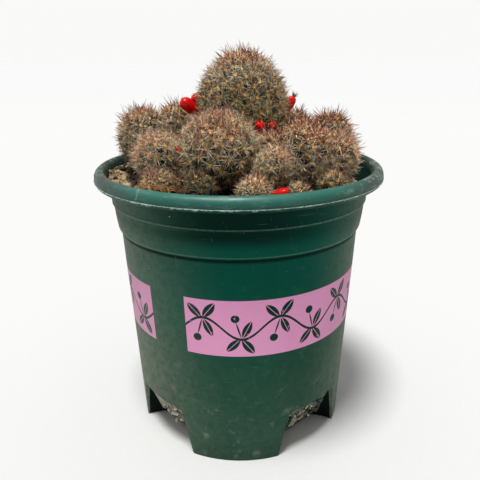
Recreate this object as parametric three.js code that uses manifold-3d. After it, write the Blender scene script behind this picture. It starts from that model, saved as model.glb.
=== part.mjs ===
// A clump of round, spiny cactus heads with red berries, in a green nursery pot.
// Millimetres, +Z up. The origin is on the floor, at the middle of the pot, and the front looks along -Y.
import * as THREE from 'three';
import { ConvexHull } from 'three/addons/math/ConvexHull.js';
import { mergeVertices } from 'three/addons/utils/BufferGeometryUtils.js';
import Module from 'manifold-3d';

const wasm = await Module();
wasm.setup();

// ---- driving dimensions ----
const SIDES = 36;                 // facets round the pot and the soil
const WALL = 1.4;                 // thickness of the pot's plastic
const GAP = 0.3;                  // clearance between pieces that touch
const FOOT_RADIUS = 48.3;         // outside of the wall at the floor
const SHOULDER = { radius: 52.95, z: 94.9 };
const BEAD = { radius: 55.4, z: 107.4 };
const RIM = { radius: 62.5, z: 121.3, lip: 57.7, skirt: 115.4 };

const FEET = 4;
const FEET_TURN = -3.4;           // degrees, from the front round to the right
const NOTCH = { angle: 40.5, topAngle: 27, height: 22.4, depth: 8.7, flare: 54, flareTop: 9.5 };
const FLOOR = { radius: 39.3, lift: 1.8 };   // the middle of the base stands clear of the floor
const SLOT = { count: 4, width: 3.6, z: 4.6, height: 9.5, angle: 8 };   // the angle is from one to the next

const SOIL = { z: 115, tilt: -0.065, rough: 2.2, rings: 6, spokes: 24 };
const STEM_DEPTH = 8;             // how far a stem goes into the soil

const AREOLE_SPACING = 6.7;       // between neighbouring tubercles
const TUBERCLE = { height: 1.2, valley: 0.6, foot: 1.6, tip: 0.55 };
const SPINE = { count: 3, length: 3.7, lean: 36, spread: 6 };
const RIM_REACH = { radius: 54.6, z: 122.6 };   // spines stay inside this until they clear the rim

// Each head: middle, half width, height above and below the middle, lean of its crown, stem radius.
const HEADS = {
  head_top: { at: [1.8, 8, 138.2], wide: 18.6, up: 26.8, down: 23.2, lean: [0, -0.05], stem: 8 },
  head_front: { at: [-7.8, -24, 130], wide: 13.5, up: 12.8, down: 15, lean: [0, -0.62], stem: 6.5 },
  head_right: { at: [25.8, -16, 127.8], wide: 9.8, up: 10.4, down: 13, lean: [0.3, -0.3], stem: 4.6 },
  head_right_back: { at: [40.8, 8, 130], wide: 8.6, up: 9, down: 16, lean: [0.2, 0], stem: 4 },
  head_right_far: { at: [40.6, -10, 124.4], wide: 8.4, up: 8.8, down: 10, lean: [0.25, -0.25], stem: 3.6 },
  head_right_low: { at: [37, -27.6, 116], wide: 4.8, up: 4.4, down: 5, lean: [0.3, -0.5], stem: 2.4 },
  head_mid_right: { at: [12.8, -34.6, 126], wide: 5, up: 5.4, down: 11, lean: [0.4, -0.3], stem: 3 },
  head_middle: { at: [13.5, -15, 124.4], wide: 7.6, up: 10, down: 10, lean: [0.1, -0.3], stem: 4 },
  head_bump: { at: [26.6, 18, 129], wide: 7, up: 10.4, down: 15, lean: [0.05, 0], stem: 4 },
  head_front_low: { at: [5.5, -45.3, 117], wide: 5, up: 5.6, down: 5, lean: [0, -0.3], stem: 3 },
  head_tiny: { at: [21.8, -43.5, 116.6], wide: 3, up: 3.4, down: 4, lean: [0.1, -0.3], stem: 1.8 },
  head_front_left: { at: [-16.4, -38.6, 118.6], wide: 6.2, up: 4.6, down: 5, lean: [-0.1, -0.5], stem: 3 },
  head_left_low: { at: [-30.4, -36.8, 117.8], wide: 6, up: 5, down: 5, lean: [-0.3, -0.4], stem: 3 },
  head_left_front: { at: [-32.4, -19, 126.8], wide: 8.2, up: 8.2, down: 11, lean: [-0.45, -0.4], stem: 4 },
  head_left: { at: [-40.6, 2, 131.8], wide: 9.8, up: 10.4, down: 15, lean: [-0.3, -0.1], stem: 5 },
  head_left_back: { at: [-28, 15, 130], wide: 8.4, up: 13, down: 16, lean: [-0.1, 0], stem: 4 },
  head_left_middle: { at: [-23, -4, 123], wide: 7, up: 8, down: 9, lean: [-0.2, -0.2], stem: 4 },
  head_back_left: { at: [-24, 33, 125.6], wide: 8.8, up: 9.6, down: 11, lean: [-0.2, 0.3], stem: 4.5 },
  head_back: { at: [2, 38, 124], wide: 9.8, up: 10.4, down: 11, lean: [0, 0.35], stem: 5 },
  head_back_right: { at: [26, 36, 123], wide: 8.2, up: 8.8, down: 10, lean: [0.2, 0.3], stem: 4 },
  head_far_left: { at: [-43, 21, 123.6], wide: 7, up: 7.6, down: 8, lean: [-0.3, 0.2], stem: 4 },
  head_far_right: { at: [43.6, 24.5, 121.6], wide: 6.8, up: 7.6, down: 9, lean: [0.3, 0.2], stem: 3.6 },
};

// Each berry: where it leaves its head, where it ends, and its largest radius.
const BERRIES = {
  berry_left_big: { from: [-14.4, 3.6, 138], to: [-24.4, 0.6, 148.4], radius: 3.1 },
  berry_left_small: { from: [-13.4, 10, 140.6], to: [-21, 7.6, 148.4], radius: 2.3 },
  berry_right_side: { from: [17.4, 9, 137.4], to: [23.6, 10, 149.4], radius: 2.2, flower: 3 },
  berry_middle: { from: [7, -6.4, 131.4], to: [9.2, -12.4, 140], radius: 2.4 },
  berry_middle_right: { from: [12, -5, 132], to: [14.6, -9, 139.6], radius: 2 },
  berry_speck: { from: [-19.4, -24.6, 129.4], to: [-24.4, -26, 132], radius: 1.2 },
  berry_rim: { from: [9.4, -45.6, 117.2], to: [18.8, -47.3, 119.2], radius: 2.4 },
  berry_back: { from: [8.8, 22.8, 145], to: [12, 28.6, 152.4], radius: 2.6 },
  berry_back_left: { from: [-24.4, 37, 132.4], to: [-26.4, 41.6, 139], radius: 2.4 },
};

// ---- finishes ----
const plastic = new THREE.MeshStandardMaterial({ color: 0x1f4a3c, roughness: 0.45, metalness: 0 });
const earth = new THREE.MeshStandardMaterial({ color: 0x7a5f45, roughness: 0.95, metalness: 0 });
const flesh = new THREE.MeshStandardMaterial({ color: 0x777a68, roughness: 0.8, metalness: 0 });
const fruit = new THREE.MeshStandardMaterial({ color: 0xc3121c, roughness: 0.3, metalness: 0 });

// ---- helpers ----
const radians = THREE.MathUtils.degToRad;
const vec = (point) => new THREE.Vector3(...point);

// A repeatable random number between 0 and 1 for a piece's own sequence.
function seededRandom(seed) {
  let state = seed;
  return () => {
    state = (state * 16807) % 2147483647;
    return state / 2147483647;
  };
}

function solidOf(geometry) {
  const plain = geometry.clone();
  plain.deleteAttribute('normal');
  plain.deleteAttribute('uv');
  const merged = mergeVertices(plain, 1e-4);
  return new wasm.Manifold(new wasm.Mesh({
    numProp: 3,
    vertProperties: new Float32Array(merged.attributes.position.array),
    triVerts: new Uint32Array(merged.index.array),
  }));
}

function geometryOf(solid) {
  const mesh = solid.getMesh();
  const geometry = new THREE.BufferGeometry();
  geometry.setAttribute('position', new THREE.BufferAttribute(new Float32Array(mesh.vertProperties), 3));
  geometry.setIndex(new THREE.BufferAttribute(new Uint32Array(mesh.triVerts), 1));
  return geometry;
}

// A solid of revolution about Z from its outline's [radius, z] points, from the axis round to the axis.
function turned(outline, sides = SIDES) {
  const lathe = new THREE.LatheGeometry(outline.map(([r, z]) => new THREE.Vector2(r, z)), sides);
  return solidOf(lathe.rotateX(Math.PI / 2));
}

// The largest body of a solid: cutting can leave loose ends of spines, which fall away.
function mainBody(solid) {
  const bodies = solid.decompose();
  return bodies.reduce((best, body) => (body.volume() > best.volume() ? body : best));
}

// ---- the pot ----

// The wall's outside, from the floor up to the underside of the rim.
const WALL_LINE = [
  [FOOT_RADIUS, 0], [51.1, 58], [SHOULDER.radius, SHOULDER.z], [SHOULDER.radius + 1.4, SHOULDER.z + 3.4],
  [BEAD.radius - 0.5, BEAD.z - 8], [BEAD.radius, BEAD.z], [BEAD.radius + 0.6, BEAD.z + 1.2], [57, 113],
];

// The inside of the wall, from the pocket of a foot up to the rim's lip.
const INSIDE_LINE = [
  [FOOT_RADIUS - WALL + 0.07, WALL], ...WALL_LINE.slice(1).map(([radius, z]) => [radius - WALL, z]),
  [RIM.lip - 1.2, RIM.z - 4.6], [RIM.lip, RIM.z - 1.7],
];

function rimLine() {
  const middle = (RIM.radius + RIM.lip) / 2;
  const inner = RIM.radius - 1.6;
  return [
    [middle - 1.6, RIM.z - 2.8], [inner, RIM.z - 3.2], [inner, RIM.skirt], [inner + 0.8, RIM.skirt],
    [RIM.radius, RIM.skirt + 1.5], [RIM.radius - 0.3, RIM.z - 2.1],
    [middle + 1.2, RIM.z - 0.4], [middle, RIM.z], [middle - 1.2, RIM.z - 0.4], [RIM.lip, RIM.z - 1.7],
  ];
}

function hullOf(points) {
  const corners = [];
  for (const face of new ConvexHull().setFromPoints(points).faces) {
    const ring = [];
    let edge = face.edge;
    do {
      ring.push(edge.head().point);
      edge = edge.next;
    } while (edge !== face.edge);
    for (let k = 1; k < ring.length - 1; k++) corners.push(ring[0], ring[k], ring[k + 1]);
  }
  return solidOf(new THREE.BufferGeometry().setFromPoints(corners));
}

function joined(solids) {
  return solids.reduce((all, solid) => all.add(solid));
}

function notchTurn(foot) {
  return FEET_TURN + (foot + 0.5) * (360 / FEET);
}

// The wedges that the drain notches take out of the base, moved outwards by a wall's thickness on request.
function notches(grow) {
  const half = radians(NOTCH.angle / 2);
  const crown = radians(NOTCH.topAngle / 2);
  const flare = radians(NOTCH.flare / 2);
  const inner = FOOT_RADIUS - NOTCH.depth - grow;
  const top = NOTCH.height + grow;
  const bottom = -3;
  const outer = FOOT_RADIUS + 9;
  const corners = [];
  for (const [radius, z, angle] of [
    [inner, bottom, half], [inner, FLOOR.lift + 0.4, half], [FOOT_RADIUS - 2 - grow, top - 1.8, crown],
    [FOOT_RADIUS + 1, top, crown], [outer, bottom, flare], [outer, NOTCH.flareTop, half],
    [outer, top * 0.7, half], [outer, top, crown],
  ]) {
    for (const side of [-1, 1]) {
      const x = side * (radius * Math.sin(angle) + grow);
      corners.push(new THREE.Vector3(x, -radius * Math.cos(angle), z));
    }
  }
  corners.push(new THREE.Vector3(0, -inner, bottom), new THREE.Vector3(0, -inner, FLOOR.lift + 0.4));
  const wedge = hullOf(corners);
  return joined(Array.from({ length: FEET }, (_, foot) => wedge.rotate([0, 0, notchTurn(foot)])));
}

// The slots that pierce the sloping back of each notch.
function slots() {
  const cuts = [];
  for (let foot = 0; foot < FEET; foot++) {
    for (let slot = 0; slot < SLOT.count; slot++) {
      const angle = notchTurn(foot) + (slot - (SLOT.count - 1) / 2) * SLOT.angle;
      const box = new THREE.BoxGeometry(SLOT.width, NOTCH.depth, SLOT.height);
      box.translate(0, -(FOOT_RADIUS - NOTCH.depth + 2.6), SLOT.z + SLOT.height / 2);
      cuts.push(solidOf(box.rotateZ(radians(angle))));
    }
  }
  return joined(cuts);
}

// The room inside the pot, made smaller all round by a gap.
function inside(gap, sides) {
  const line = INSIDE_LINE.map(([radius, z]) => [radius - gap, z]);
  line[0][1] += gap;
  const floor = FLOOR.lift + WALL + gap;
  const step = (FLOOR.radius + gap) / Math.cos(Math.PI / sides);
  const room = turned([[0, floor], [step, floor], [step + 0.5, line[0][1]], ...line,
    [RIM.lip - gap, RIM.z + 5], [0, RIM.z + 5]], sides);
  return room.subtract(notches(WALL + gap));
}

function pot() {
  const body = turned([[0, FLOOR.lift], [FLOOR.radius, FLOOR.lift], [FLOOR.radius + 0.5, 0], ...WALL_LINE,
    ...rimLine(), [0, RIM.z - 1.7]]);
  return body.subtract(notches(0)).subtract(inside(0, SIDES)).subtract(slots());
}

// ---- the soil ----

// The level of the soil, which is heaped a little to the left.
function soilLevel(x) {
  return SOIL.z + SOIL.tilt * x;
}

function insideRadius(z) {
  for (let k = 1; k < INSIDE_LINE.length; k++) {
    const [r0, z0] = INSIDE_LINE[k - 1];
    const [r1, z1] = INSIDE_LINE[k];
    if (z <= z1) return r0 + (r1 - r0) * (z - z0) / (z1 - z0);
  }
  return RIM.lip;
}

// A lid with a crumbly underside, which takes the soil down to its level.
function soilLid() {
  const random = seededRandom(29);
  const { rings, spokes } = SOIL;
  const reach = RIM.lip + 2;
  const points = [];
  for (let ring = 0; ring <= rings; ring++) {
    for (let side = 0; side < spokes; side++) {
      const turn = (side + (ring % 2) / 2) * 2 * Math.PI / spokes;
      const radius = reach * ring / rings;
      const x = radius * Math.sin(turn);
      points.push([x, -radius * Math.cos(turn), soilLevel(x) - GAP - SOIL.rough * random()]);
    }
  }
  const middle = points[0];
  const corners = [];
  const add = (...list) => list.forEach(([x, y, z]) => corners.push(new THREE.Vector3(x, y, z)));
  const lifted = ([x, y]) => [x, y, RIM.z + 9];
  const at = (ring, side) => (ring === 0 ? middle : points[ring * spokes + (side % spokes)]);
  for (let ring = 0; ring < rings; ring++) {
    for (let side = 0; side < spokes; side++) {
      const [a, b, c, d] = [at(ring, side), at(ring, side + 1), at(ring + 1, side), at(ring + 1, side + 1)];
      if (ring > 0) add(a, b, c);
      add(b, d, c);
    }
  }
  for (let side = 0; side < spokes; side++) {
    const [a, b] = [at(rings, side), at(rings, side + 1)];
    add(a, b, lifted(a), b, lifted(b), lifted(a), lifted(middle), lifted(a), lifted(b));
  }
  return solidOf(new THREE.BufferGeometry().setFromPoints(corners));
}

function soil(holes) {
  return mainBody(inside(GAP, SIDES / 2).subtract(soilLid()).subtract(holes));
}

// ---- the berries ----

// A club-shaped fruit, narrow at its root, with the stub of its dried flower. grow makes room round it.
function berry({ from, to, radius, flower = 0.7 }, grow = 0) {
  const start = vec(from);
  const along = vec(to).sub(start);
  const length = along.length();
  const outline = [[0, -grow]];
  for (const [share, height] of [[0.42, 0], [0.6, 0.3], [0.97, 0.6], [0.95, 0.82], [0.36, 0.985]]) {
    outline.push([share * radius + grow, height * length]);
  }
  const end = length + flower + grow;
  outline.push([0.26 * radius + grow, end], [0, end]);
  const lathe = new THREE.LatheGeometry(outline.map(([r, z]) => new THREE.Vector2(r, z)), 7);
  lathe.applyQuaternion(new THREE.Quaternion().setFromUnitVectors(new THREE.Vector3(0, 1, 0), along.normalize()));
  return solidOf(lathe.translate(...from));
}

// ---- the heads ----

// A head's frame: its crown's direction, two directions across it, and the line that its body is grown round.
function frameOf({ at, wide, up, down, lean }) {
  const middle = vec(at);
  const crown = new THREE.Vector3(...lean, 1).normalize();
  const across = new THREE.Vector3(0, 1, 0).cross(crown).normalize();
  const over = crown.clone().cross(across);
  const core = new THREE.Line3(
    middle.clone().addScaledVector(crown, -Math.max(0, down - wide)),
    middle.clone().addScaledVector(crown, Math.max(0, up - wide)),
  );
  return { middle, crown, across, over, core, wide, up, down };
}

// The planes that a head keeps behind, where it is pressed against its neighbours and the soil.
function contacts(frame, others) {
  const planes = [];
  for (const other of others) {
    const here = frame.middle.clone();
    const there = new THREE.Vector3();
    for (let step = 0; step < 30; step++) {
      other.core.closestPointToPoint(here, true, there);
      frame.core.closestPointToPoint(there, true, here);
    }
    const normal = there.clone().sub(here);
    const apart = normal.length();
    normal.divideScalar(apart);
    const even = (apart * apart + frame.wide ** 2 - other.wide ** 2) / (2 * apart);
    const share = THREE.MathUtils.clamp(even, 0.4 * frame.wide, apart - 0.4 * other.wide);
    planes.push({ normal, distance: normal.dot(here) + share - GAP / 2 - 0.05 });
  }
  const down = new THREE.Vector3(SOIL.tilt, 0, -1).normalize();
  planes.push({ normal: down, distance: down.dot(new THREE.Vector3(0, 0, SOIL.z)) });
  return planes;
}

// How far a point may go from a start in a direction before it meets a plane or the pot.
function reach(start, direction, wanted, planes) {
  let length = wanted;
  for (const { normal, distance } of planes) {
    const speed = normal.dot(direction);
    if (speed > 1e-6) length = Math.min(length, (distance - normal.dot(start)) / speed);
  }
  const point = new THREE.Vector3();
  const step = wanted / 24;
  for (; length > step; length -= step) {
    point.copy(start).addScaledVector(direction, length);
    if (point.z > RIM_REACH.z || Math.hypot(point.x, point.y) < RIM_REACH.radius) break;
  }
  return length;
}

// A point on the smooth body of a head, at an angle from its crown and a turn round it.
function onBody(frame, angle, turn) {
  const high = Math.cos(angle) * (Math.cos(angle) > 0 ? frame.up : frame.down);
  return new THREE.Vector3().addScaledVector(frame.crown, high)
    .addScaledVector(frame.across, Math.sin(angle) * frame.wide * Math.cos(turn))
    .addScaledVector(frame.over, Math.sin(angle) * frame.wide * Math.sin(turn));
}

function normalAt(frame, point) {
  const high = point.dot(frame.crown);
  const long = high > 0 ? frame.up : frame.down;
  return point.clone().addScaledVector(frame.crown, -high).divideScalar(frame.wide ** 2)
    .addScaledVector(frame.crown, high / long ** 2).normalize();
}

// The middles of the areoles, on a spiral that starts at the crown and keeps an even spacing.
function areoles(frame) {
  const steps = 90;
  const areas = [0];
  for (let k = 1; k <= steps; k++) {
    const [a, b] = [(k - 1) * Math.PI / steps, k * Math.PI / steps];
    const slant = onBody(frame, b, 0).distanceTo(onBody(frame, a, 0));
    areas.push(areas[k - 1] + slant * 2 * Math.PI * frame.wide * Math.sin((a + b) / 2));
  }
  const count = Math.round(areas[steps] / (AREOLE_SPACING ** 2 * Math.sqrt(0.75)));
  const golden = Math.PI * (3 - Math.sqrt(5));
  const list = [];
  let k = 1;
  for (let i = 0; i < count; i++) {
    const wanted = areas[steps] * (i + 0.5) / count;
    while (areas[k] < wanted) k++;
    const share = (wanted - areas[k - 1]) / (areas[k] - areas[k - 1]);
    list.push(onBody(frame, (k - 1 + share) * Math.PI / steps, i * golden));
  }
  return list;
}

// Moves a point to the smooth body, along the line from the head's middle.
function pulledOn(frame, point) {
  const high = point.dot(frame.crown);
  const flat = point.clone().addScaledVector(frame.crown, -high).length();
  const long = high > 0 ? frame.up : frame.down;
  return point.divideScalar(Math.hypot(flat / frame.wide, high / long));
}

// One tubercle: three corners in the valley round it, three round its tip and one in the middle, and
// the tips of its spines, which splay out from it. Undefined where the head is pressed flat.
function tubercle(frame, spot, planes, random) {
  const normal = normalAt(frame, spot);
  const across = new THREE.Vector3(0, 0, 1).cross(normal);
  if (across.lengthSq() < 1e-4) across.set(1, 0, 0);
  across.normalize();
  const over = normal.clone().cross(across);
  const first = random() * 2 * Math.PI;
  const around = (radius, height, turn) => spot.clone().addScaledVector(normal, height)
    .addScaledVector(across, radius * Math.cos(turn)).addScaledVector(over, radius * Math.sin(turn));
  const feet = [];
  const tips = [];
  const spines = [];
  const middle = around(0, TUBERCLE.height - 0.15, 0);
  for (let k = 0; k < SPINE.count; k++) {
    const turn = first + k * 2 * Math.PI / SPINE.count;
    feet.push(pulledOn(frame, around(TUBERCLE.foot, 0, turn)));
    tips.push(around(TUBERCLE.tip, TUBERCLE.height, turn));
  }
  for (const point of [...feet, ...tips]) {
    const away = point.length() + 0.5;
    if (reach(frame.middle, point.clone().normalize(), away, planes) < away) return undefined;
  }
  for (let k = 0; k < SPINE.count; k++) {
    const turn = first + (k + 0.5) * 2 * Math.PI / SPINE.count;
    const lean = radians(SPINE.lean + SPINE.spread * (2 * random() - 1));
    const aim = normal.clone().multiplyScalar(Math.cos(lean))
      .addScaledVector(across, Math.sin(lean) * Math.cos(turn)).addScaledVector(over, Math.sin(lean) * Math.sin(turn));
    const root = tips[k].clone().add(tips[(k + 1) % SPINE.count]).add(middle).divideScalar(3);
    const length = SPINE.length * (0.85 + 0.3 * random());
    const free = reach(root.clone().add(frame.middle), aim, length, planes);
    spines.push(root.addScaledVector(aim, Math.max(free - 0.1, 0.3)));
  }
  return { feet, tips, middle, spines };
}

// A head: the hull of its valley points gives the skin, and each tubercle is grown from its own triangle.
function headShape(frame, planes, seed) {
  const random = seededRandom(seed);
  const points = [];
  const grown = new Map();
  for (const spot of areoles(frame)) {
    const growth = tubercle(frame, spot, planes, random);
    if (growth) growth.feet.forEach((foot) => grown.set(foot, growth));
    points.push(...(growth ? growth.feet : [spot]));
  }
  const settled = new Map();
  for (const point of points) {
    const away = point.length();
    const direction = point.clone().divideScalar(away);
    settled.set(point, direction.multiplyScalar(reach(frame.middle, direction, away - TUBERCLE.valley, planes)));
  }
  const corners = [];
  for (const face of new ConvexHull().setFromPoints(points).faces) {
    const ring = [face.edge.tail().point, face.edge.head().point, face.edge.next.head().point];
    const growth = grown.get(ring[0]);
    const own = growth && ring.every((point) => growth.feet.includes(point));
    if (own) corners.push(...tubercleFaces(growth, settled));
    else corners.push(...ring.map((point) => settled.get(point)));
  }
  const geometry = new THREE.BufferGeometry().setFromPoints(corners);
  return solidOf(geometry.translate(...frame.middle.toArray()));
}

function tubercleFaces({ feet, tips, middle, spines }, settled) {
  const faces = [];
  for (let k = 0; k < SPINE.count; k++) {
    const next = (k + 1) % SPINE.count;
    const [foot, nextFoot] = [settled.get(feet[k]), settled.get(feet[next])];
    faces.push(foot, nextFoot, tips[k], nextFoot, tips[next], tips[k]);
    faces.push(tips[k], tips[next], spines[k], tips[next], middle, spines[k], middle, tips[k], spines[k]);
  }
  return faces;
}

// The stem below a head, which stands in its hole in the soil.
function stem({ at: [x, y, z], stem: radius }, grow = 0) {
  const bottom = soilLevel(x) - STEM_DEPTH - grow;
  const cylinder = new THREE.CylinderGeometry(radius + grow, radius * 0.8 + grow, z - bottom, 8);
  return solidOf(cylinder.rotateX(Math.PI / 2).translate(x, y, (z + bottom) / 2));
}

function head(name, frames, seed) {
  const frame = frames[name];
  const others = Object.keys(frames).filter((key) => key !== name).map((key) => frames[key]);
  let solid = headShape(frame, contacts(frame, others), seed).add(stem(HEADS[name]));
  for (const spec of Object.values(BERRIES)) {
    const near = frame.core.closestPointToPoint(vec(spec.to), true, new THREE.Vector3());
    if (near.distanceTo(vec(spec.to)) < frame.wide + 12) solid = solid.subtract(berry(spec, GAP));
  }
  return mainBody(solid);
}

// ---- the whole plant in its pot ----

function mesh(name, solid, material) {
  const piece = new THREE.Mesh(geometryOf(solid), material);
  piece.name = name;
  return piece;
}

function pottedCactus() {
  const group = new THREE.Group();
  const frames = {};
  for (const [name, spec] of Object.entries(HEADS)) frames[name] = frameOf(spec);
  group.add(mesh('pot', pot(), plastic));
  group.add(mesh('soil', soil(joined(Object.values(HEADS).map((spec) => stem(spec, GAP)))), earth));
  Object.keys(HEADS).forEach((name, k) => group.add(mesh(name, head(name, frames, 101 + 37 * k), flesh)));
  for (const [name, spec] of Object.entries(BERRIES)) group.add(mesh(name, berry(spec), fruit));
  return group;
}

export default pottedCactus();
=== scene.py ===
# A clump of round, spiny cactus heads with red berries in a green nursery pot.
# Sizes in this file are millimetres unless a note says otherwise; Blender gets metres.
import math

import bmesh
import bpy
import numpy as np
from mathutils import Matrix, Vector


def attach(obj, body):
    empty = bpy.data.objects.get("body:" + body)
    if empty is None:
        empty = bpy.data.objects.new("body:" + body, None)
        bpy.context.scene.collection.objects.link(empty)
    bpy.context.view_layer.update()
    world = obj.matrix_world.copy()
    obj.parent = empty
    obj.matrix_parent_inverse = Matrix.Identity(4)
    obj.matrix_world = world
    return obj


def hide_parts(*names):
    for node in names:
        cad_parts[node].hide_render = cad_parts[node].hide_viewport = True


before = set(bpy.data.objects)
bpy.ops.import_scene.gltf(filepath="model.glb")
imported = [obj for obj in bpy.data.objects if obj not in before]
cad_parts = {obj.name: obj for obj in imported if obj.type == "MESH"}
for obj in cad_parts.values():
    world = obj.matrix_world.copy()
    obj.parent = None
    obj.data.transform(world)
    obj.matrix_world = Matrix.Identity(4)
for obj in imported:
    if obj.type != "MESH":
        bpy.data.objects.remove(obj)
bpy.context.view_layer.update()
print("frame loaded:", len(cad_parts), "nodes")

metre = 0.001          # one millimetre in metres
whole = 2 * math.pi    # one whole turn


def shown(name, data):
    made = bpy.data.objects.new(name, data)
    bpy.context.scene.collection.objects.link(made)
    return made


def meshOf(name, points, faceSets, marks, faceMaterials=None):
    # points is n x 3, faceSets a list of index tables with one width each, marks named numbers per point
    mesh = bpy.data.meshes.new(name)
    corners = np.concatenate([f.ravel() for f in faceSets]).astype(np.int32)
    counts = np.concatenate([np.full(len(f), f.shape[1]) for f in faceSets])
    starts = np.concatenate([[0], np.cumsum(counts)[:-1]]).astype(np.int32)
    mesh.vertices.add(len(points))
    mesh.vertices.foreach_set("co", (np.asarray(points) * metre).astype(np.float32).ravel())
    mesh.loops.add(len(corners))
    mesh.loops.foreach_set("vertex_index", corners)
    mesh.polygons.add(len(counts))
    mesh.polygons.foreach_set("loop_start", starts)
    mesh.polygons.foreach_set("use_smooth", np.full(len(counts), True))
    if faceMaterials is not None:
        mesh.polygons.foreach_set("material_index", np.asarray(faceMaterials, np.int32))
    mesh.update(calc_edges=True)
    for key, values in marks.items():
        mark = mesh.attributes.new(key, "FLOAT", "POINT")
        mark.data.foreach_set("value", np.asarray(values, np.float32).ravel())
    return mesh


def pieceOf(mesh, materials, stands=()):
    # a piece of the finished object; stands names the CAD nodes that it stands for
    piece = shown(mesh.name, mesh)
    for material in materials:
        mesh.materials.append(material)
    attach(piece, "root")
    if stands:
        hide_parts(*stands)


def helperOf(name, points, faces):
    # an object that only shapes others, such as a cutter
    mesh = bpy.data.meshes.new(name)
    mesh.from_pydata([Vector(p) * metre for p in points], [], faces)
    return shown(name, mesh)


def hullOf(name, pointSets):
    # one closed convex body round each set of points
    bm = bmesh.new()
    for points in pointSets:
        made = bmesh.ops.convex_hull(bm, input=[bm.verts.new(Vector(p) * metre) for p in points])
        loose = [g for g in made["geom_interior"] + made["geom_unused"] if isinstance(g, bmesh.types.BMVert)]
        bmesh.ops.delete(bm, geom=list(set(loose)), context="VERTS")
    mesh = bpy.data.meshes.new(name)
    bm.to_mesh(mesh)
    bm.free()
    return shown(name, mesh)


def turnsOf(sides):
    return np.arange(sides) * whole / sides


def around(radius, turn, z):
    # points at a radius from the pot's axis, turned from the front towards the right
    return np.stack(np.broadcast_arrays(radius * np.sin(turn), -radius * np.cos(turn), z), 1)


def closedBody(rings, bottom, top):
    # the points and faces of a body whose rings are closed by a point at each end
    sides, faces = len(rings[0]), []
    last = 1 + (len(rings) - 1) * sides
    for side in range(sides):
        after = (side + 1) % sides
        faces.append((0, 1 + after, 1 + side))
        for low in range(1, last, sides):
            faces.append((low + side, low + after, low + sides + after, low + sides + side))
        faces.append((last + side, last + after, last + sides))
    return np.concatenate([[bottom], *rings, [top]]), faces


def lathed(name, outline, sides):
    # a body of revolution from its [radius, z] points, which start and end on the axis
    rings = [around(radius, turnsOf(sides), z) for radius, z in outline[1:-1]]
    return helperOf(name, *closedBody(rings, (0, 0, outline[0][1]), (0, 0, outline[-1][1])))


def cutWith(target, cutters):
    for cutter in cutters:
        modifier = target.modifiers.new(cutter.name, "BOOLEAN")
        modifier.operation = "DIFFERENCE"
        modifier.solver = "MANIFOLD"
        modifier.object = cutter


def finalMesh(target, cutters, name, sharp):
    # the mesh of a cut object, smooth but for edges over an angle; the object and its cutters go
    graph = bpy.context.evaluated_depsgraph_get()
    mesh = bpy.data.meshes.new_from_object(target.evaluated_get(graph))
    mesh.name = name
    for used in [target] + cutters:
        bpy.data.objects.remove(used)
    mesh.materials.clear()
    for polygon in mesh.polygons:
        polygon.use_smooth = True
    mesh.set_sharp_from_angle(angle=math.radians(sharp))
    return mesh


balls = {}


def ballOf(level):
    # the points and faces of a ball of radius 1
    if level not in balls:
        bm = bmesh.new()
        bmesh.ops.create_icosphere(bm, subdivisions=level, radius=1)
        bm.verts.index_update()
        points = np.array([v.co[:] for v in bm.verts])
        balls[level] = points, np.array([[v.index for v in f.verts] for f in bm.faces])
        bm.free()
    return balls[level]


def unit(vectors):
    vectors = np.asarray(vectors, float)
    return vectors / np.maximum(np.linalg.norm(vectors, axis=-1, keepdims=True), 1e-9)


def asideOf(aims):
    # two directions square to each aim and to one another
    first = unit(np.cross(aims, np.array([[0.13, 0.21, 1.0]])))
    return first, np.cross(aims, first)


grains = dict(level=2, longest=1.25, dent=1.6)


def addGrains(name, centres, sizes, rng, material, flat=0.7, rough=0.28):
    # irregular grains: small balls with their own stretch, turn and dents
    ball, ballFaces = ballOf(grains["level"])
    count, each = len(centres), len(ball)
    stretch = rng.uniform(flat, grains["longest"], (count, 1, 3))
    dents = 1 + rough * rng.normal(size=(count, each, 1)).clip(-grains["dent"], grains["dent"])
    local = ball[None] * stretch * dents * np.asarray(sizes)[:, None, None]
    turn = rng.uniform(0, whole, (count, 3))
    for first, second, angles in ((0, 1, turn[:, 0]), (1, 2, turn[:, 1]), (0, 1, turn[:, 2])):
        c, s = np.cos(angles)[:, None], np.sin(angles)[:, None]
        a, b = local[..., first].copy(), local[..., second].copy()
        local[..., first], local[..., second] = c * a - s * b, s * a + c * b
    points = (local + np.asarray(centres)[:, None]).reshape(-1, 3)
    faces = (ballFaces[None] + (np.arange(count) * each)[:, None, None]).reshape(-1, 3)
    pick = np.repeat(rng.uniform(0, 1, count), each)
    pieceOf(meshOf(name, points, [faces], {"pick": pick}), [material])
    print(name, "done:", count, "grains")


def tint(red, green, blue):
    # a colour as it looks on screen, 0 to 255, as the linear values that a shader takes
    channels = [c / 255 for c in (red, green, blue)]
    return tuple(c / 12.92 if c <= 0.04045 else ((c + 0.055) / 1.055) ** 2.4 for c in channels) + (1,)


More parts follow.
